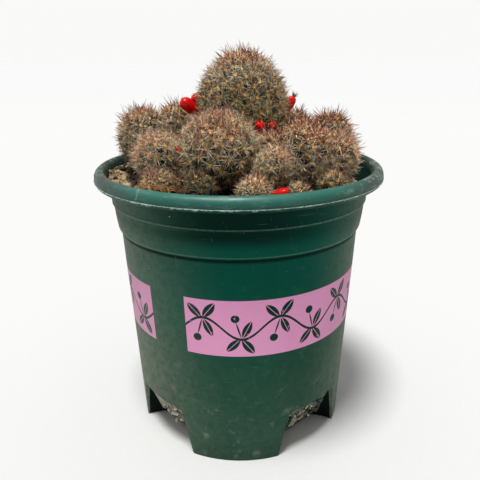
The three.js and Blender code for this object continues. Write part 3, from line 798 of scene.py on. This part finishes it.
def clearOfRim(points, aims, lengths):
    # shortens what would cross the pot's rim
    for step in range(growth["rimSteps"]):
        tips = points + aims * lengths[:, None]
        bad = (np.hypot(tips[:, 0], tips[:, 1]) > growth["rimRadius"]) & (tips[:, 2] < growth["rimZ"])
        lengths = np.where(bad, lengths * growth["rimShare"], lengths)
    return lengths


def bodyOf(head, spots, planes):
    # the fleshy body: an egg with a nipple under each areole, pressed flat where it meets a neighbour
    ball, faces = ballOf(growth["level"] + (head["wide"] > growth["fineFrom"]))
    span = spanOf(head, ball[:, 2])
    points = (ball * span) @ head["axes"] + head["middle"]
    near = np.full(len(points), 1e9)
    for spot in spots:
        near = np.minimum(near, ((points - spot) ** 2).sum(1))
    share = np.clip(np.sqrt(near) / (growth["tubercleWidth"] * head["spacing"]), 0, 1)
    rise = (1 - share ** 2) ** 1.5
    lift = (rise * growth["tubercle"] - growth["valley"]) * head["scale"]
    away = points + unit(ball / span) @ head["axes"] * lift[:, None] - head["middle"]
    length = np.linalg.norm(away, axis=1)
    aims = away / length[:, None]
    origin = np.repeat(head["middle"][None], len(points), 0)
    free = clearOfRim(origin, aims, roomFor(origin, aims, length, planes, 0))
    return origin + aims * free[:, None], faces, rise


def pointed(corners, tips, sides, closed):
    # small bodies, one for each tip: rings of corners that end in the tip, and may be closed at the foot
    points = np.stack(corners + [tips], 1)
    each, last = points.shape[1], len(corners) - sides
    quads = [(low + k, low + (k + 1) % sides, low + sides + (k + 1) % sides, low + sides + k)
             for low in range(0, last, sides) for k in range(sides)]
    ends = [(last + k, last + (k + 1) % sides, each - 1) for k in range(sides)] + [(2, 1, 0)] * closed
    start = (np.arange(len(tips)) * each)[:, None, None]
    quads, ends = np.array(quads) + start, np.array(ends) + start
    return points.reshape(-1, 3), quads.reshape(-1, 4), ends.reshape(-1, 3)


def needles(roots, aims, bends, lengths, rootWidth, tipWidth, steps):
    # slender curved spines of three sides; gives also how far along each point is, and the points in a spine
    ref = np.where(np.abs(aims[:, 2:3]) < 0.9, np.array([[0, 0, 1.0]]), np.array([[1.0, 0, 0]]))
    left = unit(np.cross(aims, ref))
    up = np.cross(left, aims)
    corners = []
    for share in steps:
        middle = roots + aims * (lengths * share)[:, None] + bends * (share ** 2)
        width = rootWidth + (tipWidth - rootWidth) * share
        corners += [middle + (left * math.cos(turn) + up * math.sin(turn)) * width for turn in turnsOf(3)]
    along = np.append(np.repeat(steps, 3), 1.0)
    made = pointed(corners, roots + aims * lengths[:, None] + bends, 3, True)
    return *made, np.tile(along, len(roots)), len(along)


def spinesOf(head, spots, normals, angles, planes, rng, kind):
    # one kind of spine on every areole, splayed out from its own, slightly tilted axis
    count, each = len(spots), kind["count"]
    tilted = unit(normals + rng.normal(0, growth["axisTilt"], normals.shape))
    roots, out = np.repeat(spots, each, 0), np.repeat(tilted, each, 0)
    old = np.repeat(np.clip(angles / head["young"], 0, 2), each)
    first, second = asideOf(out)
    index = np.tile(np.arange(each), count)
    turn = np.repeat(rng.uniform(0, whole, count), each)
    turn = turn + (index + rng.uniform(-0.5, 0.5, len(index))) * whole / each
    lean = np.radians(rng.uniform(kind["leanLow"], kind["leanHigh"], len(index)))
    flat = first * np.cos(turn)[:, None] + second * np.sin(turn)[:, None]
    aims = out * np.cos(lean)[:, None] + flat * np.sin(lean)[:, None]
    scale = head["spacing"] if kind["byAreole"] else min(1.0, 0.45 + head["spacing"] / 8.4)
    lengths = kind["length"] * scale * rng.uniform(kind["low"], kind["high"], len(index))
    lengths *= 1 + kind["young"] * (0.7 - np.clip(old, 0, 1.2))
    lift = kind["rise"] * np.repeat(rng.uniform(-0.2, 1.2, count), each)[:, None]
    roots = roots + flat * (growth["woolRadius"] * 0.6) + out * lift
    lengths = roomFor(roots, aims, lengths, planes, kind["slack"])
    lengths = np.maximum(clearOfRim(roots, aims, lengths), growth["leastLength"])
    bends = -out * (lengths * kind["curl"] * rng.uniform(0.1, 1.4, len(index)))[:, None]
    bends += rng.normal(0, 1, roots.shape) * (lengths * kind["curl"] * 0.6)[:, None]
    made = needles(roots - aims * 0.15, aims, bends, lengths, kind["root"], kind["tip"], kind["steps"])
    return made, np.repeat(old, made[4]), np.repeat(rng.uniform(0, 1, len(index)), made[4])


def woolOf(spots, normals, radius):
    # the small woolly cushion that the spines of an areole stand in
    first, second = asideOf(normals)
    corners = [spots + (first * math.cos(turn) + second * math.sin(turn)) * radius * share
               + normals * radius * height
               for share, height in woolShape["rings"] for turn in turnsOf(woolShape["sides"])]
    return pointed(corners, spots + normals * radius * woolShape["tip"], woolShape["sides"], False)


def fleshFinish():
    finish = Finish("cactus flesh", (36, 48, 42), 0.6, 0.25)
    where, rise = finish.place(), finish.mark("rise")
    skin = finish.mixed(finish.noise(where, 3.5, 3), (34, 50, 46), (60, 74, 60))
    # painted shade: the valleys between the tubercles are near black
    finish.set(Base_Color=finish.blend(rise, 0.1, 0.75, (9, 11, 7), skin),
               Normal=finish.bumpWith(finish.noise(where, 0.5, 3), 0.3, 0.1))
    return finish.material


def woolFinish():
    finish = Finish("golden areole wool", (232, 190, 116), 0.9)
    fluff = finish.noise(finish.place(), 0.35, 2, 0.7)
    finish.set(Base_Color=finish.blend(fluff, 0.3, 0.7, (216, 160, 76), (250, 220, 150)))
    return finish.material


# the three tones of each sort of spine, and the shares at which one gives way to the next
tones = dict(
    fresh=((96, 32, 20), (212, 132, 78), (255, 230, 190), 0.36, 0.58),
    grown=((106, 96, 70), (178, 164, 130), (250, 238, 208), 0.29, 0.65),
    aged=((94, 82, 50), (152, 134, 88), (208, 190, 140), 0.29, 0.65),
    warm=((104, 66, 42), (172, 134, 98), (222, 196, 160), 0.29, 0.65),
    youngRust=((82, 20, 14), (168, 62, 32), (240, 172, 112), 0.38, 0.72),
    grownRust=((100, 38, 22), (150, 88, 50), (214, 178, 128), 0.34, 0.66),
    golden=((192, 142, 66), (232, 190, 104), (254, 230, 158), 0.29, 0.65),
)


def picked(finish, pick, key):
    # one of three tones for each spine, by its own random number
    dark, middle, pale, low, high = tones[key]
    tone = finish.mixed(finish.ramp(pick, low - 0.04, low + 0.04), dark, middle)
    return finish.mixed(finish.ramp(pick, high - 0.04, high + 0.04), tone, pale)


def dimmed(finish, colour, heart=0.72):
    # the dry foot of the clump at the left is orange; the heart of a crown is dark red; low flanks carry
    # painted shade, and the shade mark gives whole heads painted shade or painted light
    across, deep, high = finish.split(finish.place())
    dry = finish.times(finish.ramp(high, 124, 119), finish.ramp(across, -14, -20, 0, 0.55),
                       finish.ramp(deep, -8, -18))
    colour = finish.mixed(dry, colour, (186, 122, 66))
    colour = finish.mixed(finish.times(finish.mark("heart"), heart), colour, (86, 20, 14))
    # painted light where the shade mark is below zero, painted shade where it is above
    shade = finish.mark("shade")
    colour = finish.blend(shade, 0, -1, colour, (255, 234, 196))
    finish.set(Base_Color=finish.blend(shade, 0, 1, colour, (22, 19, 10)))
    return finish.material


def spineMarks(finish):
    return finish.mark("old"), finish.mark("along"), finish.mark("pick")


def radialFinish():
    finish = Finish("grey white radial spines", (176, 166, 146), 0.42)
    old, along, pick = spineMarks(finish)
    fresh, grown, aged, warm = (picked(finish, pick, key) for key in ("fresh", "grown", "aged", "warm"))
    colour = finish.blend(old, 0.5, 1.1, fresh, grown)
    colour = finish.blend(old, 1.2, 1.9, colour, aged)
    # here and there a head is browner
    patches = finish.noise(finish.place(), 9.0, 2)
    colour = finish.mixed(finish.ramp(patches, 0.5, 0.66, 0, 0.75), colour, warm)
    return dimmed(finish, finish.blend(along, 0.16, 0.0, colour, (214, 182, 120)))


def centralFinish():
    finish = Finish("rust central spines", (142, 78, 50), 0.4)
    old, along, pick = spineMarks(finish)
    young, grown = picked(finish, pick, "youngRust"), picked(finish, pick, "grownRust")
    middle = finish.blend(old, 0.5, 1.2, young, grown)
    colour = finish.blend(along, 0.0, 0.18, (236, 196, 124), middle)
    tipTint = finish.blend(old, 0.6, 1.6, (52, 18, 16), (80, 46, 28))
    return dimmed(finish, finish.blend(along, 0.4, 0.8, colour, tipTint))


def rayFinish():
    finish = Finish("golden areole rays", (232, 190, 112), 0.5)
    old, along, pick = spineMarks(finish)
    colour = finish.blend(along, 0.6, 1.0, picked(finish, pick, "golden"), (198, 164, 96))
    return dimmed(finish, finish.blend(old, 1.6, 2.0, colour, (196, 164, 88)), 0.15)


def addHeads():
    setFrames()
    flesh, wool, spineFinishes = fleshFinish(), woolFinish(), [radialFinish(), centralFinish(), rayFinish()]
    total = 0
    for index, (name, head) in enumerate(heads.items()):
        rng = np.random.default_rng(growth["seed"] + index)
        planes = contactPlanes(name)
        spots, normals, angles = areolesOf(head, rng)
        tips = spots + normals * (growth["tubercle"] - growth["valley"]) * head["scale"]
        room = (planes[1] - tips @ planes[0].T).min(1)
        insideRim = np.hypot(tips[:, 0], tips[:, 1]) < growth["rimRadius"] - 1
        free = (room > growth["leastRoom"]) & (insideRim | (tips[:, 2] > growth["rimZ"]))
        body, bodyFaces, rise = bodyOf(head, spots, planes)
        tips, normals, angles = tips[free], normals[free], angles[free]

        woolPoints, woolQuads, woolEnds = woolOf(tips, normals, growth["woolRadius"] * head["scale"])
        faceSets = [bodyFaces, woolQuads + len(body), woolEnds + len(body)]
        mesh = meshOf(name + "_flesh", np.concatenate([body, woolPoints]), faceSets,
                      {"rise": np.concatenate([rise, np.ones(len(woolPoints))])},
                      np.repeat([0, 1, 1], [len(f) for f in faceSets]))
        pieceOf(mesh, [flesh, wool], [name])

        # painted shade on each head's spines, growing low on its flanks; below zero it is painted light
        low = np.clip((angles - growth["dimFrom"]) / growth["dimOver"], 0, 1)
        shade = np.clip(head["dull"] + head["dullLow"] * low, -0.9, 0.9)
        heart = np.clip(1.6 - angles / growth["heart"], 0, 1)
        points, faceSets, base = [], [], 0
        marks = {key: [] for key in ("old", "along", "pick", "shade", "heart")}
        for kind in (radialSpines, centralSpines, goldenRays):
            made, old, pick = spinesOf(head, tips, normals, angles, planes, rng, kind)
            points.append(made[0])
            faceSets += [made[1] + base, made[2] + base]
            dim, deep = (np.repeat(values, kind["count"] * made[4]) for values in (shade, heart))
            for key, values in zip(marks, (old, made[3], pick, dim, deep)):
                marks[key].append(values)
            base += len(made[0])
        mesh = meshOf(name + "_spines", np.concatenate(points), faceSets,
                      {key: np.concatenate(values) for key, values in marks.items()},
                      np.repeat([0, 0, 1, 1, 2, 2], [len(f) for f in faceSets]))
        pieceOf(mesh, spineFinishes)
        total += len(mesh.polygons)
    print("heads done:", len(heads), "heads,", total, "faces of spines")


addHeads()


# the soil's surface lies a little under its level and is uneven: waves are the length and height of
# ripples, as many of each as eachWay says
ground = dict(rings=70, spokes=180, reach=54, under=1.4, sideTop=104, sharpFrom=50, seed=41,
              waves=((34, 0.28), (13, 0.2), (6, 0.13), (2.6, 0.07)), eachWay=5,
              # the last two give where the painted shade under the clump starts and ends, and its share
              shadeFrom=(50.5, 47.5), underShade=0.85)
crumbs = dict(count=2600, smallest=0.35, largest=1.5, reach=56)
# grit behind the slots, shared out over the four notches; and lime dried on their sloping backs, which
# starts at low, reaches over span and gathers towards the top
grit = dict(count=560, shares=(0.33, 0.31, 0.31, 0.05), sizes=(0.35, 1.0), aside=2.6, slope=0.33)
crust = dict(counts=(14, 300, 300, 110), seed=23, sizes=(0.3, 1.1), reach=18, low=3, span=17.5,
             gather=(2.2, 1.4))


def groundHeight(x, y):
    # gentle unevenness: the sum of a few ripples in random directions
    rng = np.random.default_rng(ground["seed"])
    height = soilLevel(x) - ground["under"]
    for size, amount in ground["waves"]:
        for way in range(ground["eachWay"]):
            turn, phase = rng.uniform(0, whole, 2)
            along = x * math.cos(turn) + y * math.sin(turn)
            height = height + amount * np.sin(along * whole / size + phase)
    return height


def insideRadius(z):
    radii, levels = zip(*pot["inside"])
    return np.interp(z, levels, radii)


def addSoil():
    gap, turns = pot["gap"], turnsOf(ground["spokes"])
    low, floor = pot["floorLift"] + pot["wall"] + gap, pot["floorRadius"] + gap
    side = [(floor, low), (floor + pot["floorStep"], pot["inside"][0][1] + gap)]
    side += [(insideRadius(z) - gap, z + (gap if k == 0 else 0))
             for k, (radius, z) in enumerate(pot["inside"]) if z < ground["sideTop"]]
    rings = [around(radius, turns, z) for radius, z in side]
    for ring in range(ground["rings"]):
        radius = ground["reach"] * (1 - ring / ground["rings"])
        z = groundHeight(radius * np.sin(turns), -radius * np.cos(turns))
        # the outermost ring follows the wall
        rings.append(around(insideRadius(z) - gap if ring == 0 else radius, turns, z))
    middle = (0, 0, groundHeight(np.zeros(1), np.zeros(1))[0])
    body = helperOf("soilBody", *closedBody(rings, (0, 0, low), middle))
    cutter = notchCutters("notchSoil", pot["wall"] + gap)
    cutWith(body, [cutter])
    pieceOf(finalMesh(body, [cutter], "soil_bed", ground["sharpFrom"]), [earthFinish()], ["soil"])
    print("soil done")


def shadedUnderClump(finish, where, colour):
    # painted shade: the soil under the clump is darkened
    away = finish.length(finish.scaled(where, (1, 1, 0)))
    share = finish.times(finish.ramp(away, *ground["shadeFrom"]), ground["underShade"])
    return finish.mixed(share, colour, (12, 10, 7))


def earthFinish():
    finish = Finish("potting soil", (92, 74, 54), 0.95, 0.2)
    where = finish.place()
    coarse, fine = finish.noise(where, 4.0, 4, 0.65), finish.noise(where, 0.9, 3, 0.6)
    colour = finish.blend(coarse, 0.35, 0.65, (56, 44, 32), (132, 110, 82))
    colour = finish.blend(fine, 0.55, 0.75, colour, (164, 144, 112))
    finish.set(Base_Color=shadedUnderClump(finish, where, colour), Normal=finish.bumpWith(fine, 0.8, 0.6))
    return finish.material


def crumbFinish(name, dark, middle, pale, underShade=False):
    finish = Finish(name, middle, 0.95, 0.2)
    where, pick = finish.place(), finish.mark("pick")
    fine = finish.noise(where, 0.7, 3, 0.6)
    colour = finish.blend(pick, 0.1, 0.55, dark, middle)
    colour = finish.blend(pick, 0.6, 0.95, colour, pale)
    colour = finish.blend(fine, 0.5, 0.8, colour, dark)
    finish.set(Base_Color=shadedUnderClump(finish, where, colour) if underShade else colour,
               Normal=finish.bumpWith(fine, 0.6, 0.3))
    return finish.material


def addCrumbs():
    # crumbs lie all over the bed, but not where a head stands on it
    rng = np.random.default_rng(ground["seed"] + 1)
    wanted = crumbs["count"] * 2
    radius, turn = crumbs["reach"] * np.sqrt(rng.uniform(0, 1, wanted)), rng.uniform(0, whole, wanted)
    x, y = radius * np.sin(turn), -radius * np.cos(turn)
    bare = np.ones(wanted, bool)
    for head in heads.values():
        foot = head["middle"] + head["crown"] * (soilLevel(head["at"][0]) - head["at"][2]) / head["crown"][2]
        low = np.clip((head["at"][2] - soilShape["z"]) / head["down"], 0, 1)
        bare &= np.hypot(x - foot[0], y - foot[1]) > head["wide"] * math.sqrt(max(0.1, 1 - low ** 2)) - 1.5
    sizes = crumbs["smallest"] + (crumbs["largest"] - crumbs["smallest"]) * rng.uniform(0, 1, wanted) ** 2.6
    z = groundHeight(x, y) + sizes * rng.uniform(-0.2, 0.55, wanted)
    inside = np.hypot(x, y) + sizes < insideRadius(z) - pot["gap"]
    keep = np.flatnonzero(bare & inside)[:crumbs["count"]]
    addGrains("soil_crumbs", np.stack([x, y, z], 1)[keep], sizes[keep], rng,
              crumbFinish("soil crumbs", (60, 48, 36), (136, 114, 86), (180, 160, 128), True))


def addSlotGrains():
    # grit and perlite that show through the slots of the drain notches
    rng = np.random.default_rng(ground["seed"] + 2)
    count = grit["count"]
    foot = rng.choice(pot["feet"], count, p=grit["shares"])
    slot = np.array(slotTurns())[rng.integers(0, notch["slots"], count)]
    slot = slot + rng.uniform(-grit["aside"], grit["aside"], count)
    turn = np.radians([notchTurn(f) for f in foot]) + np.radians(slot)
    sizes = rng.uniform(*grit["sizes"], count)
    z = notch["slotZ"] + rng.uniform(-0.4, notch["slotHeight"] + 0.4, count)
    depth = pot["wall"] - 0.35 + sizes * rng.uniform(0.5, 1.0, count)
    radius = panelLine()[0] - 0.5 + grit["slope"] * (z - pot["floorLift"] - notch["lift"]) - depth
    addGrains("perlite_grains", around(radius, turn, z + 0.3 * depth), sizes, rng,
              crumbFinish("perlite and grit", (74, 70, 54), (152, 146, 128), (208, 202, 188)), 0.75, 0.16)


def addCrust():
    # lime that has dried in grains on the sloping back of each notch
    rng = np.random.default_rng(crust["seed"])
    inner, slope = panelLine()
    centres, sizes = [], []
    for foot, count in enumerate(crust["counts"]):
        middle = notchTurn(foot)
        turn = np.radians(middle + rng.uniform(-crust["reach"], crust["reach"], count))
        z = crust["low"] + crust["span"] * rng.beta(*crust["gather"], count)
        size = rng.uniform(*crust["sizes"], count) * rng.uniform(0.6, 1, count)
        radius = inner + slope * (z - pot["floorLift"] - notch["lift"]) - 0.05
        room = np.radians(np.interp(z, [0, notch["height"]], [notch["angle"], notch["topAngle"]])) / 2
        keep = np.abs(turn - np.radians(middle)) < room - 0.01
        centres.append(around(radius, turn, z)[keep])
        sizes.append(size[keep])
    addGrains("notch_crust", np.concatenate(centres), np.concatenate(sizes), rng,
              crumbFinish("dried lime", (128, 126, 108), (184, 180, 162), (222, 218, 204)), 0.5, 0.2)


# each berry: where it starts and ends, its half width, and the length of its dried flower
berryTable = dict(
    berry_left_big=((-14.4, 3.6, 138.8), (-24.2, 0.6, 148.2), 2.8, 0.7),
    berry_left_small=((-12.8, 9.8, 141), (-19.8, 7.4, 149.4), 2.5, 0.7),
    berry_right_side=((18, 9, 136.8), (24.8, 10, 148.4), 2.1, 3.0),
    berry_middle=((7, -6.4, 131.4), (9.2, -12.4, 140), 2.4, 0.7),
    berry_middle_right=((12, -5, 132), (14.6, -9, 139.6), 2.0, 0.7),
    berry_speck=((-19.4, -24.6, 129.4), (-24.4, -26, 132), 1.2, 0.7),
    berry_rim=((9.4, -45.6, 117.2), (18.2, -47.3, 119.1), 2.3, 0.7),
    berry_back=((8.8, 22.8, 145), (12, 28.6, 152.4), 2.6, 0.7),
    berry_back_left=((-24.4, 37, 132.4), (-26.4, 41.6, 139), 2.4, 0.7),
)
berryShape = dict(
    # the outline is the share of the radius against the share of the length; top is where it closes, and
    # the dried petals stand at foot, as thick as petalRoot says, or stoutRoot where they are long
    sides=28, seed=300, bend=0.25, top=0.96, foot=0.955, petals=11, morePetals=8, petalLean=(4, 34),
    petalSteps=(0, 0.35, 0.7), petalRoot=0.12, stoutRoot=0.17, petalTip=0.07,
    outline=[(0.32, 0.0), (0.36, 0.08), (0.44, 0.22), (0.6, 0.37), (0.82, 0.51), (0.96, 0.64), (1.0, 0.75),
             (0.94, 0.86), (0.8, 0.93), (0.56, 0.98), (0.34, 0.995), (0.2, 0.975)],
)


def berryFinish():
    finish = Finish("scarlet berry skin", (190, 10, 12), 0.26, 0.2)
    where, along = finish.place(), finish.mark("along")
    colour = finish.mixed(finish.noise(where, 2.2, 3), (150, 2, 4), (214, 8, 8))
    # painted shade: the root half of the berry is darker
    finish.set(Base_Color=finish.blend(along, 0.55, 0.0, colour, (112, 22, 16)),
               Normal=finish.bumpWith(finish.noise(where, 1.1, 2), 0.12, 0.2),
               Subsurface_Weight=0.12, Subsurface_Radius=(0.002, 0.0005, 0.0004))
    return finish.material


def huskFinish():
    finish = Finish("dried flower", (74, 50, 34), 0.85)
    finish.set(Base_Color=finish.mixed(finish.noise(finish.place(), 0.6, 3), (40, 26, 18), (120, 88, 56)))
    return finish.material


def addBerries():
    skin, husk = berryFinish(), huskFinish()
    turns = turnsOf(berryShape["sides"])
    for index, (name, (start, end, wide, flower)) in enumerate(berryTable.items()):
        rng = np.random.default_rng(berryShape["seed"] + index)
        start, end = np.array(start, float), np.array(end, float)
        length, up = np.linalg.norm(end - start), unit(end - start)
        left = unit(np.cross(up, (0.2, 1, 0.1)))
        over = np.cross(up, left)

        def outAt(angles):
            return np.cos(angles)[:, None] * left + np.sin(angles)[:, None] * over

        bend = (left * rng.normal() + over * rng.normal()) * berryShape["bend"]
        rings = []
        for share, height in berryShape["outline"]:
            middle = start + up * height * length + bend * math.sin(math.pi * height)
            wobble = 1 + 0.05 * np.sin(turns * 2 + index) + 0.025 * np.sin(turns * 5 + height * 4)
            rings.append(middle + outAt(turns) * (wide * share * wobble)[:, None])
        points, faces = closedBody(rings, start, start + up * length * berryShape["top"])
        heights = [height for share, height in berryShape["outline"]]
        along = np.concatenate([[0], np.repeat(heights, len(turns)), [1]])
        # the dried flower: short crinkled strands that stand on the tip
        long = flower > 1
        count = berryShape["petals"] + berryShape["morePetals"] * long
        turn, lean = rng.uniform(0, whole, count), np.radians(rng.uniform(*berryShape["petalLean"], count))
        flat = outAt(turn)
        aims = up * np.cos(lean)[:, None] + flat * np.sin(lean)[:, None]
        reach = max(flower, 1.0) * rng.uniform(0.6, 1.15, count)
        roots = start + up * length * berryShape["foot"] + flat * 0.1 * wide
        bends = flat * 0.25 * reach[:, None] + rng.normal(0, 0.12, (count, 3))
        root = berryShape["stoutRoot" if long else "petalRoot"]
        strands = needles(roots, aims, bends, reach, root, berryShape["petalTip"], berryShape["petalSteps"])
        faceSets = [np.array([face for face in faces if len(face) == size]) for size in (4, 3)]
        faceSets += [strands[1] + len(points), strands[2] + len(points)]
        mesh = meshOf(name + "_fruit", np.concatenate([points, strands[0]]), faceSets,
                      {"along": np.concatenate([along, strands[3]])},
                      np.repeat([0, 0, 1, 1], [len(f) for f in faceSets]))
        pieceOf(mesh, [skin, husk], [name])
    print("berries done:", len(berryTable))


addSoil()
addCrumbs()
addSlotGrains()
addCrust()
addBerries()
